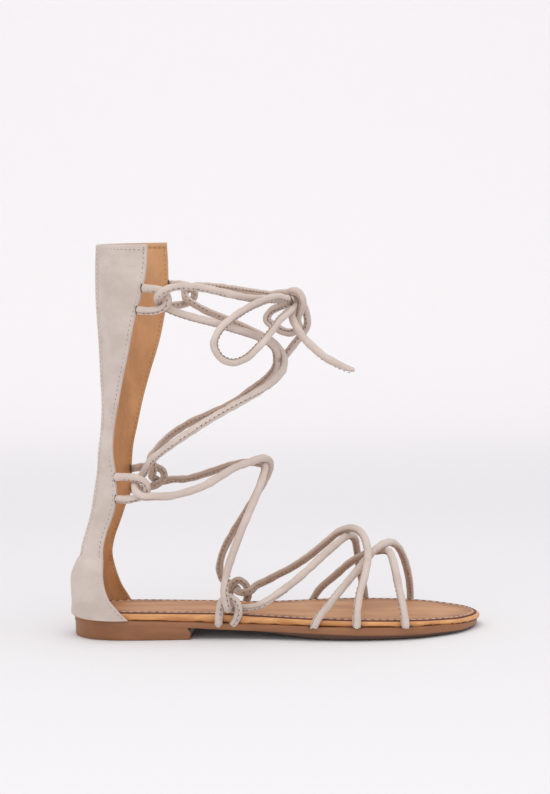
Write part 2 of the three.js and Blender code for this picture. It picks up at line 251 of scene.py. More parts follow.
def mixed(tree, factor, first, second, blend="MIX"):
    """Two colours mixed by a factor."""
    mix = node(tree, "ShaderNodeMix", {"data_type": "RGBA", "blend_type": blend},
               i0=factor, i6=first, i7=second)
    return mix.outputs[2]


def bumped(tree, shader, height, distance_mm, strength=1.0):
    """Gives the shader a bump of a real depth; calls stack on the bump already there."""
    bump = node(tree, "ShaderNodeBump", None, Height=height, Distance=distance_mm * MM,
                Strength=strength)
    normal = shader.inputs["Normal"]
    if normal.is_linked:
        tree.links.new(normal.links[0].from_socket, bump.inputs["Normal"])
    tree.links.new(bump.outputs["Normal"], normal)


def attribute(tree, name):
    return node(tree, "ShaderNodeAttribute", {"attribute_name": name}).outputs["Fac"]


# %% [markdown]
# ## Suede
# The shaft, straps and lace are cow suede: split leather buffed to a short nap. A nap has no
# gloss, glows a little at grazing angles, and is mottled where it has been brushed either way.
# So the colour drifts between two close greiges in soft patches some 2 cm across, with a fine
# grain over it, and sheen stands for the upright fibres.

# %% Suede
SUEDE_LIGHT = "#D2C4BC"
SUEDE_DARK = "#C3B4AB"
CORD_LIGHT = "#D6C6BD"
CORD_DARK = "#C9B8AE"


def suede_surface(name, cord_with_painted_shade=False):
    """Suede; for a cord, cord colours and painted shade where the attribute inward is 1, facing the
    foot.
    """
    material, tree, shader = new_material(name, Roughness=0.95, Sheen_Weight=0.25,
                                          Sheen_Roughness=0.6, Specular_IOR_Level=0.2)
    patches = graded(tree, spots(tree, 20, detail=5, stretch=(1.4, 1.4, 0.7)), 0.32, 0.68)
    tone = mixed(tree, patches, colour(CORD_DARK if cord_with_painted_shade else SUEDE_DARK),
                 colour(CORD_LIGHT if cord_with_painted_shade else SUEDE_LIGHT))
    grain = spots(tree, 0.7, detail=2)
    tone = mixed(tree, graded(tree, grain, 0.3, 0.7, 0.0, 0.2), tone, colour("#A99A90"))
    if cord_with_painted_shade:
        # Painted shade: a cord darkens where the attribute inward says it faces the foot.
        facing = graded(tree, attribute(tree, "inward"), 0.05, 0.75)
        tone = mixed(tree, facing, tone, colour("#B39D8F"))
        seam = graded(tree, attribute(tree, "lip"), 0.0, 1.0, 0.0, 0.6)
        tone = mixed(tree, seam, tone, colour("#836A5B"))
    tree.links.new(tone, shader.inputs["Base Color"])
    bumped(tree, shader, grain, 0.18, 0.7)
    bumped(tree, shader, spots(tree, 2.6, detail=4), 0.7 if cord_with_painted_shade else 0.45, 0.7)
    return material


suede = suede_surface("suede")
cord_suede = suede_surface("rolled suede", cord_with_painted_shade=True)

# %% [markdown]
# ## Lining and footbed leather
# The lining is thin vegetable-tanned calf, smooth and slightly waxy. The footbed is the same
# leather rubbed with finish along its length, which leaves faint streaks. The lining has painted
# light towards its top, the footbed is darker towards the toe and stained along its stitched
# edge. The strip wrapped round the footbed is lighter and glossier, darker at its ragged lower
# edge.

# %% Lining leather
def leather_surface(name, light, dark, stretch, streak_mm, roughness, fine_mm=0.9):
    material, tree, shader = new_material(name, Roughness=roughness, Specular_IOR_Level=0.4,
                                          Coat_Weight=0.05, Coat_Roughness=0.4)
    streaks = graded(tree, spots(tree, streak_mm, detail=5, stretch=stretch), 0.34, 0.66)
    tone = mixed(tree, streaks, colour(dark), colour(light))
    pores = spots(tree, fine_mm, detail=3)
    tone = mixed(tree, graded(tree, pores, 0.5, 0.72, 0.0, 0.16), tone, colour("#7A5038"))
    tree.links.new(tone, shader.inputs["Base Color"])
    bumped(tree, shader, pores, 0.12, 0.5)
    bumped(tree, shader, streaks, 0.15, 0.35)
    return material, tree, shader, tone


lining_leather, tree, shader, tone = leather_surface(
    "calf lining", "#D19C6C", "#BB8759", (1, 1, 2.2), 12, 0.62)
height_here = node(tree, "ShaderNodeSeparateXYZ", None,
                   Vector=node(tree, "ShaderNodeTexCoord").outputs["Object"]).outputs["Z"]
# Painted light: the lining turns paler towards its top.
painted_light_above = graded(tree, height_here, 130 * MM, 230 * MM, 0.0, 0.4)
tone = mixed(tree, painted_light_above, tone, colour("#D9AC83"))
turned_edge = graded(tree, height_here, 238.6 * MM, 239.2 * MM, 0.0, 0.6)
tone = mixed(tree, turned_edge, tone, colour("#D6A97F"))
tree.links.new(tone, shader.inputs["Base Color"])

footbed_leather, tree, shader, tone = leather_surface(
    "rubbed calf footbed", "#D09C70", "#BA8459", (3, 1, 1), 14, 0.6)
forward = node(tree, "ShaderNodeSeparateXYZ", None,
               Vector=node(tree, "ShaderNodeTexCoord").outputs["Object"]).outputs["X"]
darker_ahead = graded(tree, forward, 20 * MM, 110 * MM, 0.0, 0.3)
tone = mixed(tree, darker_ahead, tone, colour("#A87349"))
rubbed = node(tree, "ShaderNodeMath", {"operation": "MULTIPLY"}, i0=attribute(tree, "edge"),
              i1=graded(tree, spots(tree, 9, detail=4, stretch=(2.5, 1, 1)), 0.4, 0.6, 0.3, 0.92))
tone = mixed(tree, rubbed.outputs[0], tone, colour("#7F4630"))
tree.links.new(tone, shader.inputs["Base Color"])

# %% Wrap leather
wrap_leather, tree, shader, tone = leather_surface(
    "glazed edge strip", "#E3A86E", "#C88A56", (5, 1, 1), 4, 0.45)
# The strip is darker along its lower edge, on a ragged line.
ragged = node(tree, "ShaderNodeMath", {"operation": "ADD"},
              i0=attribute(tree, "rise"),
              i1=graded(tree, spots(tree, 3.5, detail=4, stretch=(2, 1, 1)), 0.3, 0.7, -0.22, 0.12))
dark_lower_edge = graded(tree, ragged.outputs[0], 0.0, 0.16, 0.85, 0.0)
tone = mixed(tree, dark_lower_edge, tone, colour("#4A2F22"))
tree.links.new(tone, shader.inputs["Base Color"])

# %% [markdown]
# ## Moulded sole
# Outsole and heel are moulded in brown thermoplastic rubber made to look like stacked leather.
# Its surface is smooth with a soft satin gloss and a few faint level lines, as a moulding has.

# %% Moulded sole
def moulded_surface(name, light, dark):
    material, tree, shader = new_material(name, Roughness=0.48, Specular_IOR_Level=0.45)
    drift = graded(tree, spots(tree, 22, detail=3, stretch=(2, 1, 0.4)), 0.35, 0.65)
    tone = mixed(tree, drift, colour(dark), colour(light))
    # Painted shade: the outsole's underside, where the attribute below is 1, turns dark brown.
    tone = mixed(tree, graded(tree, attribute(tree, "below"), 0.1, 0.9), tone, colour("#5A4034"))
    tree.links.new(tone, shader.inputs["Base Color"])
    bumped(tree, shader, spots(tree, 5, detail=4, stretch=(3, 3, 0.25)), 0.1, 0.3)
    return material


moulded_brown = moulded_surface("moulded sole rubber", "#966543", "#885838")

# %% Threads and dark gaps
def plain_surface(name, hex_code, roughness=0.8):
    """One colour with a little fibre to it, for thread, the dark of a groove and painted shade."""
    material, tree, shader = new_material(name, Roughness=roughness)
    fibre = graded(tree, spots(tree, 0.5, detail=2), 0.3, 0.7, 0.0, 0.35)
    tone = mixed(tree, fibre, colour(hex_code), colour("#2E211B"))
    tree.links.new(tone, shader.inputs["Base Color"])
    return material


dark_thread_and_shade = plain_surface("waxed brown thread and shade", "#665042")
suede_thread = plain_surface("greige thread", "#8F7C70")
lining_thread = plain_surface("tan thread", "#9C7048")
pale_thread = plain_surface("natural linen thread", "#E9CBAA")
pale_fibre = plain_surface("cut suede fibre", "#E9DDD3")
groove_dark_and_slit_shade = plain_surface("groove dark and slit shade", "#6B403B", 0.7)

# %% [markdown]
# ## Stitches
# A machine stitch is a short length of thread pulled into the leather at both ends. From a step
# away it is a small dash, so each is one low ellipsoid of a few dozen faces. All the stitches
# of a row are placed at once: their frames are arrays, and one product moves every copy.

# %% Stitches
def ellipsoid(across=8, up=5):
    """Unit ellipsoid: rings of latitude with a point at either pole, as points and faces."""
    tilt = np.linspace(-np.pi / 2, np.pi / 2, up + 1)[1:-1, None]
    spin = np.linspace(0, 2 * np.pi, across, endpoint=False)[None, :]
    rings = np.stack([np.cos(tilt) * np.cos(spin), np.cos(tilt) * np.sin(spin),
                      np.sin(tilt) * np.ones_like(spin)], axis=-1).reshape(-1, 3)
    points = np.vstack([rings, [[0, 0, -1], [0, 0, 1]]])
    last = len(rings)
    ring = np.arange(across)
    after = np.roll(ring, -1)
    top = (up - 2) * across
    south = np.stack([np.full(across, last), after, ring], axis=-1)
    north = np.stack([np.full(across, last + 1), ring + top, after + top], axis=-1)
    middle = grid_faces(up - 1, across, around=True)
    return points, [*middle.tolist(), *south.tolist(), *north.tolist()]


def stitches(centres, along, outward, size):
    """Points and faces of one ellipsoid at each centre; size is length, width, height in mm."""
    along = unit(along)
    outward = unit(outward - (outward * along).sum(-1, keepdims=True) * along)
    side = np.cross(outward, along)
    points, faces = ellipsoid()
    axes = np.stack([along, side, outward], axis=1) * (np.array(size) / 2)[None, :, None]
    placed = (points @ axes) + centres[:, None]
    shift = (np.arange(len(centres)) * len(points))
    every = [[corner + s for corner in face] for s in shift.tolist() for face in faces]
    return placed.reshape(-1, 3), every


def joined(parts):
    """Several (points, faces) as one."""
    points, faces, start = [], [], 0
    for some_points, some_faces in parts:
        points.append(some_points)
        some_faces = some_faces.tolist() if isinstance(some_faces, np.ndarray) else some_faces
        faces += [[corner + start for corner in face] for face in some_faces]
        start += len(some_points)
    return np.vstack(points), faces


# %% [markdown]
# ## A rolled cord
# Each strap is a strip of suede rolled round a core and stitched shut, so its section is round
# with one low step where the strip's edge lies over itself. The section is swept along a smooth
# route. The step lies low on the outer strands and high on the inner ones: its direction is made
# square to the route and averaged along it, with a slow twist on top. On the outer side, below
# the ankle, it turns in towards the foot, so the stitches beside it show there. In the bow it
# follows a point inside each loop, which is called its heart.

# %% Rolled cords
CORD = 4.8
# Added to the seam's direction: everywhere, rising on the inner side and falling on the outer,
# where it turns in low on the outer side, and there once it is ahead of the ankle.
SEAM_LEAN = np.array([-0.1, -1.5, -0.15])
SEAM_RISE = np.array([0, 0, 0.45])
SEAM_TURN = np.array([0, 1.9, 0])
SEAM_AHEAD = np.array([-1.6, -1.9, 0])
HEART_LEAN = np.array([0, -0.95, 0])
TO_FOOT = 0.9             # how strongly the seam is drawn to the middle of the foot
SIDE_REACH = 20           # mm from the middle at which the seam has its full rise
AVERAGED_OVER = 13        # points
TWIST, TWIST_STEP = 0.25, 47
# Where a turn of the seam begins, and over how many mm it is done.
AHEAD = (0, 15)
OUTWARDS = (0, 15)
OVER_ARCH_LOOPS = (38, 10)
CLEAR_OF_MID_LOOPS = (-72, 12)
BELOW_SHIN = (-112, 12)
FOOT_LINE = evenly(
    np.array([(75, 0, 20), (0, 0, 34), (-48, 0, 66), (-50, 0, 240)], dtype=float), 1.5)


def averaged(rows, width):
    """Moving average along a line, with the ends held."""
    half = width // 2
    before, after = np.repeat(rows[:1], half, axis=0), np.repeat(rows[-1:], half, axis=0)
    sums = np.cumsum(np.vstack([np.zeros((1, rows.shape[1])), before, rows, after]), axis=0)
    return (sums[2 * half + 1:] - sums[:len(rows)]) / (2 * half + 1)


def to_foot(points):
    """Direction from each point to the middle line of the foot."""
    nearest = FOOT_LINE[((points[:, None] - FOOT_LINE[None]) ** 2).sum(-1).argmin(axis=1)]
    return unit(nearest - points)


def risen(place, start, span):
    """0 up to a start, 1 from a span beyond it, and a straight rise between them."""
    return np.clip((place - start) / span, 0, 1)


def seam_frames(line, phase, heart=None):
    """Tangent, seam direction and third direction along a line; a heart draws the seam to it."""
    along = unit(np.gradient(line, axis=0))
    x, y, z = line[:, :1], line[:, 1:2], line[:, 2:]
    lean = SEAM_LEAN + np.clip(y / SIDE_REACH, -1, 1) * SEAM_RISE + TO_FOOT * to_foot(line)
    ahead = risen(x, *AHEAD)
    clear = np.maximum(ahead, risen(z, *OVER_ARCH_LOOPS)) * risen(x, *CLEAR_OF_MID_LOOPS)
    turned = risen(-y, *OUTWARDS) * risen(-z, *BELOW_SHIN) * clear
    lean = lean + turned * (SEAM_TURN + ahead * SEAM_AHEAD)
    if heart is not None:
        lean = unit(heart - line) + HEART_LEAN
    lean = unit(lean - (lean * along).sum(-1, keepdims=True) * along)
    lean = averaged(lean, AVERAGED_OVER)
    lean = unit(lean - (lean * along).sum(-1, keepdims=True) * along)
    third = np.cross(along, lean)
    twist = (TWIST * np.sin(measured(line) / TWIST_STEP + phase))[:, None]
    seam = np.cos(twist) * lean + np.sin(twist) * third
    return along, seam, np.cross(along, seam)


# %% Swept section
CORD_STEP = 1.3           # mm between two rings of a cord
LIP_SPREAD = 0.16         # radians the strip's edge is seen over
END_ROUND = 1.1           # mm over which a cord's end rounds off
THIN_END = 0.42           # share of the girth left at a tapered end


def rolled_cord(route, phase=0.0, thin=(0, 0), flat=None, heart=None):
    """A round section with one step in it, swept along a route.

    The section is a circle less a bell-shaped dip at the seam, so it rises slowly to one side of
    the seam and drops back at once on the other. Its girth swells and thins by a few hundredths
    in waves of 8 to 48 mm. thin tapers the ends over some mm, and flat gives width and thickness
    along the cord. Returns points, faces, values, centreline and heart.
    """
    line = evenly(smooth_line(route), CORD_STEP)
    along = measured(line)
    length = along[-1]

    # Rings stand close together where an end rounds off, and points where the strip steps.
    tips = np.array([0, 0.06, 0.25, 0.6])
    stops = np.concatenate([tips, along[1:-1], (length - tips)[::-1]])
    stops = stops[np.concatenate([[True], np.diff(stops) > 0.02])]
    line = np.stack([np.interp(stops, along, line[:, k]) for k in range(3)], axis=1)
    _, seam, third = seam_frames(line, phase, heart)

    angle = np.concatenate([[0, 0.1, 0.26, 0.5], np.linspace(0.85, 5.75, 15), [6.0, 6.15, 6.25]])
    short_of_turn = 6.283 - angle
    profile = (1 - 0.16 * np.exp(-((angle / 0.42) ** 2))
               - 0.04 * np.exp(-((short_of_turn / 0.1) ** 2)))
    lip = np.exp(-((angle / LIP_SPREAD) ** 2)) + np.exp(-((short_of_turn / 0.05) ** 2))

    from_end = np.minimum(stops, length - stops)
    rounded = np.sqrt(np.clip(1 - (1 - np.clip(from_end / END_ROUND, 0, 1)) ** 2, 0.01, 1))
    waves = (1 + 0.026 * np.sin(stops / 6.1 + phase) + 0.02 * np.sin(stops / 2.3)
             + 0.035 * np.sin(stops / 1.25 + 2 * phase) * np.sin(stops / 7.7))
    girth = CORD / 2 * rounded * waves
    for reach, distance in zip(thin, (stops, length - stops)):
        if reach:
            girth *= THIN_END + (1 - THIN_END) * np.clip(distance / reach, 0, 1) ** 0.7
    wide, deep = (1, 1) if flat is None else flat(stops / length)
    creases = np.sin(2 * angle + stops[:, None] / 1.7) * np.sin(stops[:, None] / 9 + phase)
    dents = profile * (1 + 0.05 * creases)
    across = np.cos(angle)[None] * dents * (girth * deep)[:, None]
    aside = np.sin(angle)[None] * dents * (girth * wide)[:, None]
    grid = line[:, None] + across[..., None] * seam[:, None] + aside[..., None] * third[:, None]
    rows, columns = grid.shape[:2]
    points = grid.reshape(-1, 3)
    normals = unit(points - np.repeat(line, columns, axis=0))
    ends = [list(range(columns))[::-1], list(range((rows - 1) * columns, rows * columns))]
    # inward weights the painted shade on the side of a cord that faces the foot; from 150 to 200 mm
    # high it falls to half.
    inward = (np.repeat(to_foot(line), columns, axis=0) * normals).sum(-1)
    inward *= 1 - 0.5 * np.clip((points[:, 2] - 150) / 50, 0, 1)
    values = {"inward": inward, "lip": np.tile(lip, rows)}
    return points, grid_faces(rows, columns, around=True).tolist() + ends, values, line, heart


def cord_piece(name, cords, slot, stands_for=()):
    """One object from several swept cords; in the shoe they are stitched where they cross."""
    points, faces = joined([(c[0], c[1]) for c in cords])
    values = {key: np.concatenate([c[2][key] for c in cords]) for key in ("inward", "lip")}
    return make_piece(name, points, faces, cord_suede, slot, stands_for, values)


CORD_PITCH = 3.0
CORD_STITCH = (1.4, 0.6, 0.45)
BESIDE_SEAM = -0.25       # radians from the seam to its stitches
STITCH_DEPTH = 0.975      # share of the radius at which they lie


def seam_stitches(cord, phase):
    """Thread dots beside the step of a cord, one in each pitch of its length."""
    line = evenly(cord[3], CORD_PITCH)[1:-1]
    along, seam, third = seam_frames(line, phase, cord[4])
    side = unit(np.cos(BESIDE_SEAM) * seam + np.sin(BESIDE_SEAM) * third)
    return stitches(line + side * CORD / 2 * STITCH_DEPTH, along, side, CORD_STITCH)


def mirrored(route, shift):
    """A route carried over to the inner side and moved forward."""
    return np.asarray(route) * [1, -1, 1] + [shift, 0, 0]


# %% [markdown]
# ## Where the straps run
# A route is a list of points from the sole upwards. Two straps cross over the toes. The lace has
# two strands; each starts at the sole, hooks through a loop on alternate sides three times, and
# runs into the knot. Only the loops are the same on both sides, and are mirrored.

# %% Toe straps
TOE_OVER = [
    (22.2, -41.6, 8.3), (25.1, -42, 14.5), (32.6, -38.6, 22.7), (41.1, -31, 31.6),
    (51.1, -21, 41.2), (60.7, -9, 49.7), (69.9, 2, 53.3), (76.3, 14, 49.5), (81.1, 26, 40.1),
    (84.7, 36, 26.6), (86, 42, 15), (86, 43.4, 7.4),
]
TOE_UNDER = [
    (78, -43.3, 7.4), (76.8, -41, 18.9), (74.4, -32.5, 32.5), (72.2, -19, 44.8), (69.9, -4, 48.8),
    (63.9, 7, 47.5), (57, 17, 44.2), (48.1, 26, 38), (37.7, 33.5, 28), (27.3, 37.4, 18.3),
    (21.6, 38.9, 8.4),
]
toe_cords = [rolled_cord(TOE_OVER, 0.3), rolled_cord(TOE_UNDER, 2.0)]
cord_piece("toe_strap_pair", toe_cords, "suede", ["toe_straps"])

# %% Lace
ARCH_HOOK = [
    (-8.7, -31.5, 21.9), (-15.5, -27.2, 19.2), (-20.8, -24.6, 18.4), (-25.4, -24.4, 18.6),
    (-28.8, -28, 19.2), (-29.6, -33.4, 20), (-30.4, -37, 23.6), (-31.4, -38.2, 30.9),
    (-30.6, -37.2, 38), (-28.6, -36.2, 45.8),
]
ARCH_HOOK_INNER = [
    (1.5, 29.6, 30), (-6.8, 31.4, 25.5), (-12.9, 29.6, 23), (-16.5, 25, 20.4), (-21.2, 24.4, 19.6),
    (-24.6, 28, 20), (-24.8, 33.6, 20.4), (-27.6, 37.8, 22.4), (-34, 39, 25.8), (-35.9, 39, 30.3),
    (-35.9, 38, 35.4), (-34.1, 37.2, 42.6), (-30.9, 36.4, 49.7),
]
MID_HOOK = [
    (-62.8, -38.6, 90.1), (-71.6, -38.8, 90.1), (-79, -38.4, 90), (-82.8, -36.2, 92),
    (-84.4, -30.4, 94.5), (-83.2, -25.2, 97.8), (-79.4, -24, 102.6), (-74.7, -29, 110.3),
]
MID_HOOK_INNER = [
    (-55.6, 38, 91.4), (-65.4, 38.6, 91.1), (-72, 38.4, 90), (-76, 36.2, 91.9),
    (-77.6, 30.4, 94.2), (-76.4, 25, 97.4), (-75.8, 22.6, 102.2),
]
TOP_HOOK = [
    (-31.6, -40.4, 193.6), (-44, -40.6, 197), (-53.4, -38.6, 199.8), (-61, -37.4, 202.8),
    (-65.6, -38.6, 206), (-67, -43, 208.8), (-66.4, -48.4, 211), (-61.6, -50.6, 214.8),
    (-53.6, -50.2, 216.6),
]
TOP_HOOK_INNER = [
    (-48.5, 37.4, 202.6), (-53.2, 38.6, 205.8), (-54.5, 43, 208.7), (-54.1, 48.8, 210.9),
    (-49.3, 51.2, 213.5), (-41.5, 48.4, 213.7),
]
VAMP_OVER = [
    (48.3, -45.1, 8.2), (48.6, -43.8, 17.5), (50.4, -41, 28.2), (54.4, -34, 40.2),
    (56.5, -24, 51.8), (54, -13, 60.8), (47.9, -4, 63.6), (40.2, 3.5, 60.6), (31.5, 12, 52.5),
    (20.5, 20.5, 42.4), (9, 27.5, 34),
]
VAMP_UNDER = [
    (57.2, 44.3, 8.1), (56.3, 43, 18.1), (54.1, 40, 28), (52.5, 33, 39.1), (51.2, 23.5, 48.5),
    (49.6, 12, 55), (45.4, 1, 58.3), (38.9, -7, 55.1), (30.2, -15, 49.3), (20, -22, 41.2),
    (9.2, -28.4, 33.3),
]
INSTEP_OVER = [
    (-26.1, 35.2, 57.8), (-19.9, 32.8, 67.7), (-13.7, 29, 78), (-6.1, 22, 91.2),
    (-2.3, 12.5, 100.8), (-3.3, 2.5, 106.4), (-7.6, -6, 108.4), (-15.1, -15.5, 107),
    (-24.1, -25, 104.8), (-34.1, -32, 99.7), (-43.5, -36.4, 95.1),
]
INSTEP_UNDER = [
    (-22.9, -34.4, 61.3), (-17.2, -30.5, 74.4), (-11.7, -23.5, 86.1), (-7.3, -13, 96.3),
    (-5.7, -3, 103), (-10.4, 7, 104.3), (-18, 16.5, 103.5), (-27.4, 26, 100.8), (-37.2, 33, 97),
]
SHIN_OVER = [
    (-62.1, -39.6, 120.7), (-50.1, -42, 128.8), (-37.9, -42, 136.2), (-25.5, -40, 143),
    (-14.4, -36.5, 148.7), (-5.5, -30, 153.4), (2, -20.5, 158.1), (7, -9, 164.1), (7.1, 3, 171.1),
    (1.3, 14.6, 178.5), (-8.7, 26, 184), (-19.4, 35, 188.8), (-31.7, 38.6, 194.1),
    (-41.2, 38.6, 198.3),
]
SHIN_UNDER = [
    (-78, 25, 105.5), (-73.4, 33, 111.9), (-65.9, 40.4, 119), (-53.4, 41.8, 126.7),
    (-40.1, 41, 132.4), (-24.3, 38, 140), (-13.6, 32, 147.8), (-3.9, 23, 155.4), (1.9, 12, 162.9),
    (3.3, -1, 169.7), (1.5, -11, 177.4), (-5, -20.5, 183), (-15.1, -30, 187.6), (-23, -36, 190.4),
]
RUN_OVER = [
    (-28, 39.5, 212.4), (-17, 32, 210.7), (-5.6, 21.4, 209.2), (2.8, 12, 208.2), (8.6, 5, 208),
]
RUN_UNDER = [
    (-38.8, -45, 215), (-27, -38.5, 211.8), (-13, -27.5, 208.2), (-1, -17, 206.8), (6, -9.8, 206),
]
lace_over = np.vstack([VAMP_OVER, ARCH_HOOK_INNER, INSTEP_OVER, MID_HOOK,
                       SHIN_OVER, TOP_HOOK_INNER, RUN_OVER])
lace_under = np.vstack([VAMP_UNDER, ARCH_HOOK, INSTEP_UNDER, MID_HOOK_INNER,
                        SHIN_UNDER, TOP_HOOK, RUN_UNDER])
lace_cords = [rolled_cord(lace_over, 1.1), rolled_cord(lace_under, 4.2)]
cord_piece("hooked_lace", lace_cords, "suede", ["lace"])

# %% [markdown]
# ## Loops
# Six short cords bent into loops hold the lace. The arch loops go down into the sole, and the
# others go through slots in the shaft's front edge, so their ends are tapered. A slot or a slit
# is too small to cut out: a low dark ellipsoid where each cord goes in is painted shade for it.

# %% Cord loops
ARCH_SHIFT, MID_SHIFT, TOP_SHIFT = 5, 7, 12.5
ARCH_LOOP = [
    (-35.6, -27.4, 8.6), (-35.4, -29.6, 11), (-34.8, -30.4, 17), (-33.4, -30.8, 23.5),
    (-29.2, -31, 26.6), (-24.6, -30.8, 23.8), (-23, -30.6, 18.6), (-24.4, -30.2, 12.6),
    (-27.2, -28, 8.4),
]
MID_LOOP = [
    (-97.2, -21.8, 100.3), (-95, -23.6, 100.5), (-90, -27.4, 100.8), (-83, -30.6, 100.4),
    (-77.6, -32.6, 97.2), (-77.2, -32.6, 92.2), (-82.6, -30.8, 88.6), (-90, -27.4, 87),
    (-94.4, -24.6, 87), (-96.8, -22.8, 87.1),
]
TOP_LOOP = [
    (-76.9, -38.4, 215.8), (-74.6, -39.6, 215.6), (-70, -42, 215.2), (-63.6, -44.4, 213.6),
    (-60.8, -46, 208.6), (-63.6, -44.8, 204.2), (-70, -42, 202.2), (-78, -38.4, 202.4),
    (-80.4, -37, 202.6),
]
loop_cords = []
for name, route, shift in (("arch_loop", ARCH_LOOP, ARCH_SHIFT), ("mid_loop", MID_LOOP, MID_SHIFT),
                           ("top_loop", TOP_LOOP, TOP_SHIFT)):
    for side, points in (("outer", np.asarray(route)), ("inner", mirrored(route, shift))):
        cord = rolled_cord(points, 0.8, thin=(0, 0) if name == "arch_loop" else (1.2, 1.2))
        cord_piece(f"{name}_{side}_cord", [cord], "suede", [f"{name}_{side}"])
        loop_cords.append(cord)

# %% Slots in the shaft and the sole
SHAFT_SLOT = (5.8, 1.5, 3.4)
SOLE_SLIT = (8.4, 1.5, 1.5)
arch_ends = [cord[3][[0, -1]] for cord in loop_cords[:2]]
slots = np.vstack([cord[3][[0, -1]] for cord in loop_cords[2:]])
slots[:, 1] -= 1.0 * (slots[:, 1] < 0)      # the outer ones stand 1 mm prouder
upright = np.tile([0, 0, 1.0], (len(slots), 1))
# Painted shade: a dark ellipsoid in each slot of the shaft.
dark_slots = stitches(slots, upright, slots * [0, 1, 0], SHAFT_SLOT)
make_piece("loop_slot_shade", *dark_slots, dark_thread_and_shade, "suede")

strap_feet = np.array([TOE_OVER[0], TOE_OVER[-1], TOE_UNDER[0], TOE_UNDER[-1],
                       lace_over[0], lace_under[0]])
feet = np.vstack([strap_feet, *arch_ends])
forwards = np.tile([1.0, 0, 0], (len(feet), 1))
# Painted shade: a dark ellipsoid in each slit where a strap goes into the sole.
slits = stitches(feet * [1, 0.98, 1] + [0, 0, 1.3], forwards, feet * [0, 1, 0], SOLE_SLIT)
make_piece("strap_slit_shade", *slits, groove_dark_and_slit_shade, "wrap_leather")

# %% [markdown]
# ## The bow
# The two ends of the lace are tied over the shin. The outer loop is long and droops; the inner
# one is small. Both are pressed a little flat. The outer end opens into a fishtail where it was
# cut. They are swept like the lace, with a width and a thickness that change along them.

# %% Bow routes
BOW_OUTER = [
    (13.4, -8, 205.6), (9, -13, 207), (3.4, -19.6, 208.2), (-5, -27.6, 206), (-13.5, -35.6, 202.6),
    (-23.7, -43.6, 196.4), (-31, -48.6, 189.6), (-34, -50.6, 182), (-31, -51, 174.6),
    (-24, -50, 170.8), (-16, -47, 172.6), (-8.5, -41, 178.6), (-1, -34, 186.6),
    (4.8, -26, 194), (9.6, -17, 198), (13.6, -9, 201.6), (14.6, -4, 204),
]
BOW_INNER = [
    (11.6, 4.6, 204), (6.8, 8.4, 201.6), (0.4, 11, 198.6), (-2.6, 12, 193.4), (3.4, 11.5, 188),
    (9.4, 9, 185.2), (14.4, 6, 185.6), (17.2, 3, 189.4), (16, 0.6, 194.2),
]
END_OUTER = [
    (13.8, -4.6, 201.6), (12.8, -9.4, 196.4), (15.6, -14.6, 189.4), (20, -18, 182.8),
    (26.3, -20, 176.5), (32.5, -21.5, 171.2), (39, -22, 167.5), (45, -22, 164.6),
    (50.5, -22, 162.8),
]
END_INNER = [
    (20, 1.4, 202.6), (22, 4, 196.6), (22.6, 6.4, 190.6), (20, 9, 184.8), (15.4, 12, 179),
    (10.4, 15.6, 172.6), (5, 19, 166),
]
# A point inside each loop, or behind and below the end, that its seam faces.
HEARTS = {"bow_loop_outer": np.array([-14, -40, 189]), "bow_loop_inner": np.array([8, 4, 194]),
          "lace_end_outer": np.array([30, 60, 150])}


def pressed(share):
    """Width and thickness of a cord that is pressed a little flat all along."""
    return 1.08 + 0 * share, 0.92 + 0 * share


def fishtail(share):
    """Width and thickness of a cord that spreads and thins over its last seventh."""
    return (1 + 0.6 * np.clip((share - 0.86) / 0.14, 0, 1) ** 2,
            1 - 0.45 * np.clip((share - 0.84) / 0.16, 0, 1))


# %% Bow cords
bow_cords, bow_pieces = {}, {}
for name, route, form in (
    ("bow_loop_outer", BOW_OUTER, pressed), ("bow_loop_inner", BOW_INNER, pressed),
    ("lace_end_outer", END_OUTER, fishtail), ("lace_end_inner", END_INNER, None),
):
    bow_cords[name] = rolled_cord(route, 2.6, flat=form, heart=HEARTS.get(name))
    # The bow's loops and ends get half the painted shade of a side facing the foot.
    bow_cords[name][2]["inward"] *= 0.5
    bow_pieces[name] = cord_piece(f"{name}_cord", [bow_cords[name]], "suede", [name])

# %% [markdown]
# ## The knot
# Inside the knot the strands are hidden, so it is a lump with folds, an ellipsoid whose radius
# dips along slanting lines. Two short broad cords are wrapped over it, and two dark ellipsoids
# are painted shade in the creases where the strands press together.

# %% Knot
KNOT_CENTRE = np.array([14, -3.4, 203.4])
KNOT_SIZE = np.array([9.2, 12, 13])
KNOT_RINGS, KNOT_SPOKES = 26, 40
KNOT_WRAP = [
    (10.5, -5.5, 208.9), (13.6, -8, 211), (16.9, -9.6, 210.4), (19.2, -10, 207.2),
    (19.8, -9, 203.3), (18.4, -6.5, 199.2), (16.7, -3, 194.6), (16.9, 0.5, 189.9),
]
KNOT_TUCK = [(0.3, 10, 208.6), (5.9, 5, 209.6), (10.9, 0, 210), (13.9, -3, 209)]
CREASE_SIZE = (7, 1.1, 1.6)


def broad(share):
    """Width and thickness of a strand pulled broad where the wrap begins."""
    return 1.22 - 0.25 * share, 0.86 + 0 * share


tilt = np.linspace(-np.pi / 2, np.pi / 2, KNOT_RINGS)[:, None]
spin = np.linspace(0, 2 * np.pi, KNOT_SPOKES, endpoint=False)[None, :]
ball = np.stack([np.cos(tilt) * np.cos(spin), np.cos(tilt) * np.sin(spin),
                 np.sin(tilt) * np.ones_like(spin)], axis=-1)
folds = 1 - 0.09 * np.abs(np.sin(2.1 * spin + 1.7 * tilt)) * np.cos(tilt)
lump_points = (KNOT_CENTRE + ball * folds[..., None] * KNOT_SIZE / 2).reshape(-1, 3)
wraps = [rolled_cord(KNOT_WRAP, 0.5, flat=broad, thin=(3, 4)),
         rolled_cord(KNOT_TUCK, 1.5, thin=(0, 3))]
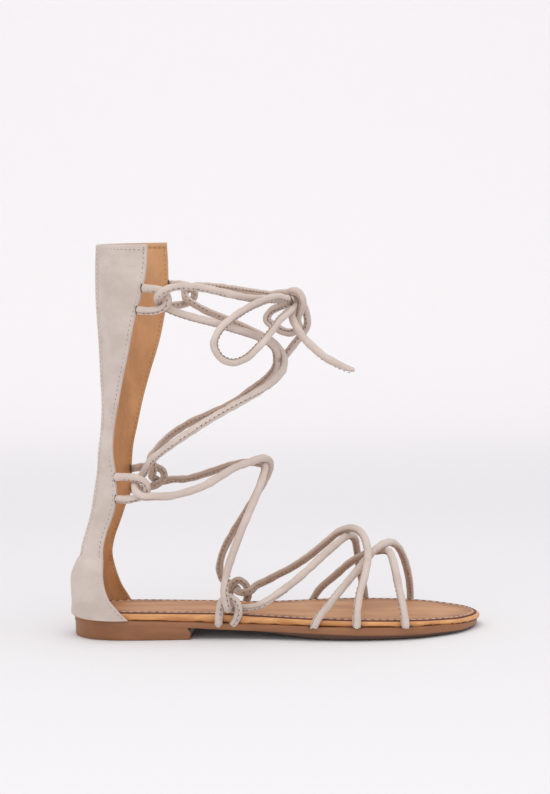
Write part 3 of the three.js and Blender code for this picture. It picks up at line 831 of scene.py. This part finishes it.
# Painted shade: the whole lump is darkened as a side facing the foot, and takes some of the seam's
# darker colour.
lump = (lump_points, grid_faces(KNOT_RINGS, KNOT_SPOKES, around=True).tolist(),
        {"inward": np.full(len(lump_points), 0.8), "lip": np.full(len(lump_points), 0.45)})
# Painted shade: two dark ellipsoids in the creases of the knot.
crease_places = np.array([[12.8, -12, 206.6], [13.2, -11.2, 201.4]])
crease_runs = np.array([[3.5, 0, -9.0], [1.0, 0, -4]])
crease_faces = np.array([[0, -1.0, 0], [0, -1.0, 0]])
creases = stitches(crease_places, crease_runs, crease_faces, CREASE_SIZE)
make_piece("knot_crease_shade", *creases, dark_thread_and_shade, "suede")
knot = cord_piece("bow_knot_cord", [lump, *wraps], "suede", ["bow_knot"])

# %% [markdown]
# ## Loose cords
# The bow's loops and ends hang free. The lace itself is held by its loops and stays as it is.

# %% [markdown]
# ## Cut ends and cord seams
# Where a strap is cut at the sole, pale fibres stand out of the suede. A few thin ellipsoids
# thrown about each end, with a seed so that they fall the same way each time, are enough at this
# size. Every cord has a row of stitches beside its step.

# %% Frayed cut ends
FIBRES = 12
FIBRE_SIZE = (1.8, 0.4, 0.3)
fray_rng = np.random.default_rng(11)
frayed = strap_feet + np.sign(strap_feet) * [0, 2.0, 0] + [0, 0, 1.0]
scatter = fray_rng.normal(0, 1, (2, len(frayed) * FIBRES, 3))
fibre_places = np.repeat(frayed, FIBRES, axis=0) + scatter[0] * [0.8, 0.15, 0.6]
fibre_sides = np.tile([0.2, 1.0, 0.1], (len(fibre_places), 1))
fibres = stitches(fibre_places, scatter[1] * [1, 0.3, 0.9], fibre_sides, FIBRE_SIZE)
make_piece("frayed_cut_ends", *fibres, pale_fibre, "suede")

# %% Cord stitches
seamed = toe_cords + lace_cords + loop_cords + list(bow_cords.values())
phases = [0.3, 2.0, 1.1, 4.2] + [0.8] * len(loop_cords) + [2.6] * len(bow_cords)
cord_rows = [seam_stitches(cord, phase) for cord, phase in zip(seamed, phases)]
make_piece("cord_stitches", *joined(cord_rows), dark_thread_and_shade, "suede")

# %% [markdown]
# ## The heel shaft
# The shaft is one curved wall round the heel: suede outside, calf lining inside. At each height
# it is part of a circle, from its outer front edge round the back to its inner front edge. So a
# point on it needs only how far round it is, how high, and how deep in the wall. A short table
# gives the circle and the two edges at some heights, and a smooth line fills in between.

# %% Shaft shape
# Columns: height, x of the back, radius, x of the outer front edge, x of the inner front edge.
SHAFT = [
    (12.4, -127.8, 30, -90.6, -90), (19, -127.6, 30, -97, -94), (27, -127.3, 29.6, -103, -98.6),
    (38, -126.2, 29, -105.8, -102.2), (48, -121.4, 28, -106, -103.8),
    (57, -119.4, 28, -105.8, -102), (66, -116.5, 28, -103.6, -98.6),
    (77, -113.3, 28, -99.2, -94.6), (88, -111.3, 28, -96.8, -90.2),
    (102, -108.9, 28.5, -97.3, -90.2), (115, -107.8, 29, -99, -89), (128, -106, 30, -98.2, -86),
    (144, -105, 31.5, -95, -82.2), (160, -105.4, 34, -91.2, -77.5), (180, -105.8, 37, -86.2, -71),
    (195, -106.5, 39, -82.7, -67.6), (210, -107, 40.5, -78, -65), (226, -106.8, 41, -74.3, -64.5),
    (242, -106, 41, -73, -65),
]
SHAFT_BOTTOM, SHAFT_TOP = SHAFT[0][0], SHAFT[-1][0]
SUEDE_THICK = 1.45
WALL_THICK = 2.35
shaft_line = smooth_line(SHAFT, 10)


def shaft_circle(height):
    """Centre x, radius, and the angles of the outer and inner front edge at a height."""
    columns = shaft_line.T
    back, radius, outer, inner = (np.interp(height, columns[0], columns[k]) for k in range(1, 5))
    centre = back + radius
    start = -np.arccos(np.clip((centre - outer) / radius, -1, 1))
    end = np.arccos(np.clip((centre - inner) / radius, -1, 1))
    return centre, radius, start, end


def at_angle(angle, height, depth=0.0):
    """The point of the wall at an angle from its back, a height, and a depth below the suede."""
    centre, radius, _, _ = shaft_circle(height)
    r = radius - depth
    x, y = centre - r * np.cos(angle), r * np.sin(angle)
    return np.stack(np.broadcast_arrays(x, y, height), axis=-1)


def around_shaft(share, height, margin=0.0):
    """Angle of a share of the way round, 0 to 1, keeping a margin in mm from both edges."""
    _, radius, start, end = shaft_circle(height)
    start, end = start + margin / radius, end - margin / radius
    return start + (end - start) * share


# %% Shaft suede
def rolled_edge(share, height, reach, depth):
    """How far the surface dips where it rolls over the front and top edges."""
    _, radius, start, end = shaft_circle(height)
    front = np.minimum(share, 1 - share) * (end - start) * radius
    nearest = np.minimum(front, SHAFT_TOP - height)
    near = 1 - np.clip(nearest / reach, 0, 1)
    return depth * (1 - np.sqrt(1 - near**2))


def packed(count, power=1.6):
    """Shares from 0 to 1 that crowd together near both ends."""
    t = np.linspace(-1, 1, count)
    return 0.5 + 0.5 * np.sign(t) * (1 - (1 - np.abs(t)) ** power)


LIP_RADIUS = 1.3          # mm over which the suede rolls over an edge
LIP_DROP = 0.6
COUNTER_TOP = 49.8
COUNTER_PROUD = 1.9
HEM_RISE = 1.7
share = packed(72)[None, :]
heights = np.concatenate([np.linspace(SHAFT_BOTTOM, SHAFT_TOP - 3, 150),
                          SHAFT_TOP - 3 * (1 - np.linspace(0.1, 1, 10)) ** 1.5])[:, None]
angles = around_shaft(share, heights)

# A faint ripple, less the counter: full at the back, stepped at its top, fading out below.
ripple = 0.22 * np.sin(heights / 9.5 + 1.3) * np.sin(share * 9 + heights / 31)
at_back = np.exp(-((angles / 1.05) ** 4))
step = np.clip((COUNTER_TOP - heights) / 2.4, 0, 1) ** 0.5
fading = np.clip((heights - 22) / 24, 0, 1) ** 0.8
counter = COUNTER_PROUD * (step * fading) * at_back
depth = rolled_edge(share, heights, LIP_RADIUS, LIP_DROP) + ripple * 0.8 - counter

# The hem is lifted at the back, most at its lower edge.
low = np.clip(1 - (heights - SHAFT_BOTTOM) / 12, 0, 1)
hem = HEM_RISE * np.exp(-angles**2) * low
skin = at_angle(angles, heights, depth)
back_of_skin = at_angle(angles, heights, SUEDE_THICK + 0 * share)
skin[..., 2] += hem
back_of_skin[..., 2] += hem
suede_wall = closed_body(skin[::-1], back_of_skin[::-1])
make_piece("shaft_suede", *suede_wall, suede, "suede", ["heel_shaft"])

# %% [markdown]
# ## Lining
# The lining is a hair shorter than the suede and stops just inside its edges. At the top it is
# folded over and stitched down, which leaves a lighter band with a crease below it.

# %% Shaft lining
BAND_FOOT = SHAFT_TOP - 2.9
lining_angle = around_shaft(share, heights, margin=0.35)
above_fold = heights - BAND_FOOT
fold = 0.28 * np.clip(above_fold / 0.4, 0, 1) - 0.3 * np.exp(-(above_fold / 0.5) ** 2)
crinkle = 0.16 * np.sin(heights / 3.1 + 4 * share) * np.exp(-((heights - 52) / 30) ** 2)
lining_top = np.minimum(heights, SHAFT_TOP - 0.35)
outer_face = at_angle(lining_angle, lining_top, SUEDE_THICK + 0.02 + 0 * share)
inner_face = at_angle(lining_angle, lining_top, WALL_THICK + fold + crinkle + 0 * share)
lining_wall = closed_body(outer_face[::-1], inner_face[::-1])
make_piece("shaft_lining", *lining_wall, lining_leather, "footbed_leather")

# %% [markdown]
# ## Back stay
# A strip of the same suede runs up the back, stitched down both sides. It stiffens the shaft and
# hides the join of the two halves. It ends over the counter in a rounded tongue.

# %% Back stay
STAY_ANGLE = 0.33
STAY_FOOT = 49.6
STAY_PROUD = 0.75
across = packed(26)[None, :]
stay_heights = np.concatenate([STAY_FOOT + 8 * np.linspace(0, 1, 16) ** 2,
                               np.linspace(STAY_FOOT + 9, SHAFT_TOP - 0.4, 110)])[:, None]
narrow = np.sqrt(np.clip(1 - (1 - np.clip((stay_heights - STAY_FOOT) / 7, 0, 1)) ** 2, 0, 1))
half = STAY_ANGLE * np.maximum(narrow, 0.02)
stay_angle = (across * 2 - 1) * half
to_edge = (1 - np.abs(across * 2 - 1)) * half * 30
lift = STAY_PROUD * np.sqrt(1 - (1 - np.clip(to_edge / 1.0, 0, 1)) ** 2) + 0.02
stay_top = at_angle(stay_angle, stay_heights, -lift)
stay_under = at_angle(stay_angle, stay_heights, 0.6 + 0 * lift)
make_piece("back_stay", *closed_body(stay_top[::-1], stay_under[::-1]), suede, "suede")

# %% [markdown]
# ## Stitching on the shaft
# One row of fine greige stitches follows the front edges, one follows the top, and one runs down
# each side of the back stay. The front and top rows show inside too, in tan. Each row is a line
# on the wall cut into equal steps of 3 mm.

# %% Shaft stitches
STITCH_PITCH = 3.0
STITCH_SIZE = (1.25, 0.5, 0.4)
EDGE_MARGIN = 2.0
STAY_MARGIN = 0.045       # radians from the stay's edge to its stitches


def stitch_line(angle, height, depth, inside=False):
    """Stitches along a line on the wall, at the depth of the surface that they lie on."""
    places = evenly(at_angle(angle, height, depth), STITCH_PITCH)
    along = np.gradient(places, axis=0)
    centre = shaft_circle(places[:, 2])[0]
    outward = places - np.stack([centre, 0 * centre, places[:, 2]], axis=1)
    return stitches(places, along, -outward if inside else outward, STITCH_SIZE)


rows_up = np.linspace(SHAFT_BOTTOM + 2, SHAFT_TOP - 2.2, 200)
share_round = np.linspace(0, 1, 160)
top_row = SHAFT_TOP - (1.7 + 1.7 * np.abs(share_round * 2 - 1))
top_angle = around_shaft(share_round, top_row, EDGE_MARGIN)
edge_angles = [around_shaft(end, rows_up, EDGE_MARGIN) for end in (0, 1)]
stay_rows = np.linspace(STAY_FOOT + 6, SHAFT_TOP - 3, 200)
stay_edge = STAY_ANGLE - STAY_MARGIN + 0 * stay_rows

rows = [stitch_line(angle, rows_up, 0.05) for angle in edge_angles]
rows.append(stitch_line(top_angle, top_row, 0.05))
rows += [stitch_line(side * stay_edge, stay_rows, -STAY_PROUD) for side in (-1, 1)]
make_piece("shaft_stitches", *joined(rows), suede_thread, "suede")

inner_rows = [stitch_line(angle, rows_up, WALL_THICK, inside=True) for angle in edge_angles]
inner_rows.append(stitch_line(top_angle, top_row, WALL_THICK + 0.2, inside=True))
make_piece("lining_stitches", *joined(inner_rows), lining_thread, "footbed_leather")

# %% [markdown]
# ## The sole
# The sole is a stack: outsole, a core wrapped in leather, and a stitched cover. Every layer
# follows one outline, moved in or out, at heights that change slowly along the foot. A layer is
# a set of rings from its underside to its top, and a cap joins each point of the last ring to
# the one straight across.

# %% Sole shape
# Columns: x, half-width to the outer side, half-width to the inner side, ledge of the outsole.
OUTLINE = np.array([
    (-124.8, 0, 0, 1.0), (-121.5, 10.5, 10.5, 1.2), (-114, 18.4, 18.4, 1.6), (-104, 23, 23, 2.2),
    (-90, 25.2, 25, 2.4), (-70, 25.8, 25, 2.6), (-50, 26, 24, 2.8), (-30, 27, 23.6, 3),
    (-10, 30, 25.4, 3), (10, 35, 31, 3), (30, 39.8, 37, 3), (50, 42, 40.6, 3),
    (70, 41.4, 41.6, 2.8), (86, 38, 40.2, 2.6), (100, 31.5, 36.4, 1.6), (112, 23.4, 30.4, 0.6),
    (119.6, 14, 25, -0.4), (124.8, 4, 16.6, -1.2), (127, -6.5, 6.5, -1.6),
])
# Columns: x, top of the footbed, top of the outsole, its underside at the edge and in the middle.
LEVELS = np.array([
    (-130, 16.6, 13.8, 9.2, 9.2), (-108, 16.6, 12.8, 9.2, 9.2), (-90, 16.5, 12, 9.1, 9.1),
    (-68, 16.0, 11.2, 8.4, 8.4),
    (-50, 15.6, 10.5, 7.1, 7.2), (-36, 15.2, 9.9, 6.2, 6.2), (-12, 13.9, 9.3, 5.3, 4.4),
    (10, 13.1, 8.9, 4.8, 1.8), (27, 12.7, 8.6, 4.4, 0), (50, 12.1, 8.3, 3.6, 0),
    (76, 11.2, 7.6, 3.0, 0), (98, 10.1, 7.0, 2.6, 0), (114, 9.0, 5.8, 1.9, 0.2),
    (130, 8.0, 4.6, 1.2, 0.8),
])
# Columns: x and half-width of the heel block, from its back to its front face.
HEEL = np.array([
    (-125.4, 0), (-122.2, 10.4), (-114.4, 19.7), (-103, 25), (-88, 27.4), (-70, 28.2), (-53, 28),
])
HEEL_BREAST = 4.5         # how much further forward the front face is on the inner side


def level(number):
    """Height of one level as a function of x, on a smooth curve through its rows."""
    line = smooth_line(LEVELS[:, [0, number]], 10)
    return lambda x: np.interp(x, line[:, 0], line[:, 1])


footbed_top, outsole_top, edge_under, middle_under = (level(k) for k in range(1, 5))
outer_side = np.stack([OUTLINE[:, 0], -OUTLINE[:, 1]], axis=1)
inner_side = np.stack([OUTLINE[1:-1, 0], OUTLINE[1:-1, 2]], axis=1)[::-1]
footbed_ring = smooth_line(np.vstack([outer_side, inner_side]), 10, closed=True)
inner_front = HEEL[-1] + [HEEL_BREAST, 0]
heel_side = smooth_line(np.vstack([inner_front, HEEL[1:-1][::-1], HEEL * [1, -1]]), 10)
heel_back = int(np.argmin(heel_side[:, 0]))
heel_ring = np.vstack([heel_side[heel_back:], heel_side[:heel_back]])


def moved_in(ring, distance):
    """An outline moved inwards by a distance, which may differ from point to point."""
    along = unit(np.roll(ring, -1, axis=0) - np.roll(ring, 1, axis=0))
    return ring + np.stack([-along[:, 1], along[:, 0]], axis=1) * np.reshape(distance, (-1, 1))


def layer(rings):
    """Points and faces of a layer from its rings, underside first."""
    rings = np.stack(rings)
    count, around = rings.shape[:2]
    i = np.arange((around + 1) // 2)
    j = i + 1
    opposite = (around - i) % around
    cap = np.stack([i, j, (around - j) % around, opposite], axis=1)
    top = (count - 1) * around
    walls = grid_faces(count, around, around=True)
    return rings.reshape(-1, 3), np.vstack([walls, cap[:, ::-1], cap + top])


def ring_at(ring, distance, height):
    """The outline moved in, at a height given as a function of x."""
    flat = moved_in(ring, distance)
    return np.column_stack([flat, height(flat[:, 0])])


# %% Outsole
PAD_INSET = 7
ledge = np.interp(footbed_ring[:, 0], OUTLINE[:, 0], OUTLINE[:, 3])
outsole_ring = moved_in(footbed_ring, -ledge)


def pad(x):
    """Height of the flat that the outsole stands on, or of its middle where it is lifted."""
    return np.maximum(0, middle_under(x))


def between(share):
    """The outsole's underside a share of the way from its edge in to its pad."""
    return lambda x: edge_under(x) + (pad(x) - edge_under(x)) * share


def above(surface, lift):
    """A surface raised by some mm."""
    return lambda x: surface(x) + lift


# 0 over the heel block, where the outsole is glued down, and 1 ahead of it.
free = np.clip((outsole_ring[:, 0] + 55) / 3, 0, 1)
outsole_rings = [
    ring_at(outsole_ring, PAD_INSET, pad),
    ring_at(outsole_ring, 4.6, between(0.9)),
    ring_at(outsole_ring, 2.3, between(0.62)),
    ring_at(outsole_ring, 0.1 + 0.9 * free, between(0.28)),
    ring_at(outsole_ring, 0.35 * free, above(edge_under, 0.05)),
    ring_at(outsole_ring, 0.05 * free, above(edge_under, 0.5)),
    ring_at(outsole_ring, 0, above(edge_under, 1.0)),
    ring_at(outsole_ring, 0, above(outsole_top, -0.7)),
    ring_at(outsole_ring, 0.12, above(outsole_top, -0.25)),
    ring_at(outsole_ring, 0.5, outsole_top),
]
# below is 1 on the underside rings ahead of the heel block, which get painted shade.
below = (np.array([1, 1, 1, 1, 0.75, 0, 0, 0, 0, 0])[:, None] * free).reshape(-1)
make_piece("outsole_moulding", *layer(outsole_rings), moulded_brown, "moulded_brown", ["outsole"],
           values={"below": below})



# %% Heel block
def flat_at(height):
    """A level height, whatever x is."""
    return lambda x: 0 * x + height


heel_top = above(edge_under, -0.02)
heel_rings = [ring_at(heel_ring, 0.9, flat_at(0)), ring_at(heel_ring, 0.25, flat_at(0.25)),
              ring_at(heel_ring, 0, flat_at(0.9)), ring_at(heel_ring, 0, heel_top)]
make_piece("heel_moulding", *layer(heel_rings), moulded_brown, "moulded_brown", ["heel_block"])

# %% [markdown]
# ## Footbed
# A strip of thin leather is glued round the footbed's edge and trimmed by hand, so its lower
# edge wanders a little. On top lies the cover, stitched down just inside a dark groove.

# %% Wrapped footbed
wander = smooth_line(np.column_stack([np.arange(60), rng.uniform(-0.45, 0.3, 60)]), 20)
trim = np.interp(np.linspace(0, 59, len(footbed_ring)), wander[:, 0], wander[:, 1])
swell = 0.18 * np.sin(np.linspace(0, 46 * np.pi, len(footbed_ring))) * np.abs(trim)
wrap_levels = [(0.9, outsole_top, 0.05), (0.3, outsole_top, 0.35), (0.02, outsole_top, 1.0),
               (-0.1, footbed_top, -2.0), (0.02, footbed_top, -1.1), (0.45, footbed_top, -0.55),
               (1.1, footbed_top, -0.35), (1.9, footbed_top, -0.45), (2.3, footbed_top, -1.1)]
wrap_rings = []
for number, (depth, surface, lift) in enumerate(wrap_levels):
    ring = ring_at(footbed_ring, depth + swell, above(surface, lift))
    ring[:, 2] += trim * (number < 2)
    wrap_rings.append(ring)
rise = np.repeat([0, 0.08, 0.3, 0.7, 0.9, 1, 1, 1, 1], len(footbed_ring))
make_piece("wrap_strip", *layer(wrap_rings), wrap_leather, "wrap_leather", ["wrapped_footbed"],
           values={"rise": rise})

# %% Footbed cover
COVER_EDGE = 2.75
cover_levels = [(0, -1.2), (0, -0.35), (0.2, 0.0), (0.6, 0.14), (1.3, 0.1), (1.9, 0.2),
                (3.4, 0.22), (7, 0.16), (11, 0.14)]
cover_rings = [ring_at(footbed_ring, COVER_EDGE + depth, above(footbed_top, lift))
               for depth, lift in cover_levels]
edge = np.repeat([1, 1, 1, 1, 1, 1, 0.85, 0.4, 0], len(footbed_ring))
make_piece("footbed_leather_cover", *layer(cover_rings), footbed_leather, "footbed_leather",
           ["footbed_cover"], values={"edge": edge})

# %% Footbed stitches and groove
SEAT_PITCH = 4.6
SEAT_STITCH = (3.1, 0.95, 0.85)
GROOVE_RADIUS = 0.6
seat_ring = ring_at(footbed_ring, COVER_EDGE + 1.5, above(footbed_top, 0.2))
seat_line = evenly(np.vstack([seat_ring, seat_ring[:1]]), SEAT_PITCH)
upwards = np.tile([0.0, 0.0, 1.0], (len(seat_line), 1))
seat_stitches = stitches(seat_line, np.gradient(seat_line, axis=0), upwards, SEAT_STITCH)
make_piece("footbed_stitches", *seat_stitches, pale_thread, "footbed_leather")


def ring_cord(line, radius, sides=8):
    """A thin round ring along a closed flat line."""
    along = unit(np.roll(line, -1, axis=0) - np.roll(line, 1, axis=0))
    side = unit(np.cross(along, [0, 0, 1.0]))
    rise = np.cross(side, along)
    turn = np.linspace(0, 2 * np.pi, sides, endpoint=False)[None, :, None]
    points = line[:, None] + radius * (np.cos(turn) * side[:, None] + np.sin(turn) * rise[:, None])
    looped = np.concatenate([points, points[:1]])
    return looped.reshape(-1, 3), grid_faces(len(looped), sides, around=True)


# A dark ring lies in the groove between the cover and the strip.
groove_line = ring_at(footbed_ring, 2.4, above(footbed_top, -0.2))
make_piece("groove", *ring_cord(groove_line, GROOVE_RADIUS), groove_dark_and_slit_shade, "footbed_leather")

# %% [markdown]
# ## Stage and light
# The shoe stands on a pale floor that runs into a pale backdrop. One large soft light hangs over
# it and a little in front. A weaker one fills from the camera's side and a faint one from ahead
# of the toe, so the only strong shadow is a soft one under the arch.

# %% Stage
FLOOR = "#EAE9EB"
BACKDROP = "#FCFAFC"


def stage_surface():
    """Paper that is a little paler where it rises, since less of the overhead light falls there."""
    material, tree, shader = new_material("paper sweep", Roughness=0.9, Specular_IOR_Level=0.1)
    place = node(tree, "ShaderNodeTexCoord").outputs["Object"]
    away = node(tree, "ShaderNodeSeparateXYZ", None, Vector=place).outputs["Y"]
    tone = mixed(tree, graded(tree, away, 0.5, 1.5), colour(FLOOR), colour(BACKDROP))
    tree.links.new(tone, shader.inputs["Base Color"])
    return material


sweep = stage_surface()
bend = np.linspace(0, np.pi / 2, 24)
curve = np.column_stack([1200 + 500 * np.sin(bend), 500 - 500.05 * np.cos(bend)])
profile = np.vstack([[(-1800, -0.05)], curve, [(1700, 2600)]])
paper = np.stack([np.insert(profile, 0, side, axis=1) for side in (-3200, 3200)])
paper_faces = grid_faces(2, len(profile))[:, ::-1]
mesh = bpy.data.meshes.new("sweep")
mesh.from_pydata((paper.reshape(-1, 3) * MM).tolist(), [], paper_faces.tolist())
mesh.shade_smooth()
mesh.materials.append(sweep)
floor = bpy.data.objects.new("sweep", mesh)
bpy.context.collection.objects.link(floor)


def soft_light(name, place, aim, size, watts):
    """A square area light at a place, turned to an aim; both in metres."""
    data = bpy.data.lights.new(name, "AREA")
    data.size = size
    data.energy = watts
    light = bpy.data.objects.new(name, data)
    light.location = place
    light.rotation_euler = (Vector(aim) - Vector(place)).to_track_quat("-Z", "Y").to_euler()
    bpy.context.collection.objects.link(light)
    return light


lights = [
    soft_light("overhead softbox", (-0.1, -0.45, 1.5), (0, 0, 0.1), 1.5, 8),
    soft_light("front fill", (-0.4, -1.9, 0.42), (0, 0, 0.05), 1.2, 5.4),
    soft_light("side fill", (1.4, -0.8, 0.7), (0, 0, 0.12), 0.9, 0.8),
]

world = bpy.data.worlds.new("studio")
bpy.context.scene.world = world
world.use_nodes = True
world.node_tree.nodes["Background"].inputs["Color"].default_value = colour("#FBFAFA")
world.node_tree.nodes["Background"].inputs["Strength"].default_value = 0.84
bpy.context.scene.view_settings.view_transform = "Standard"
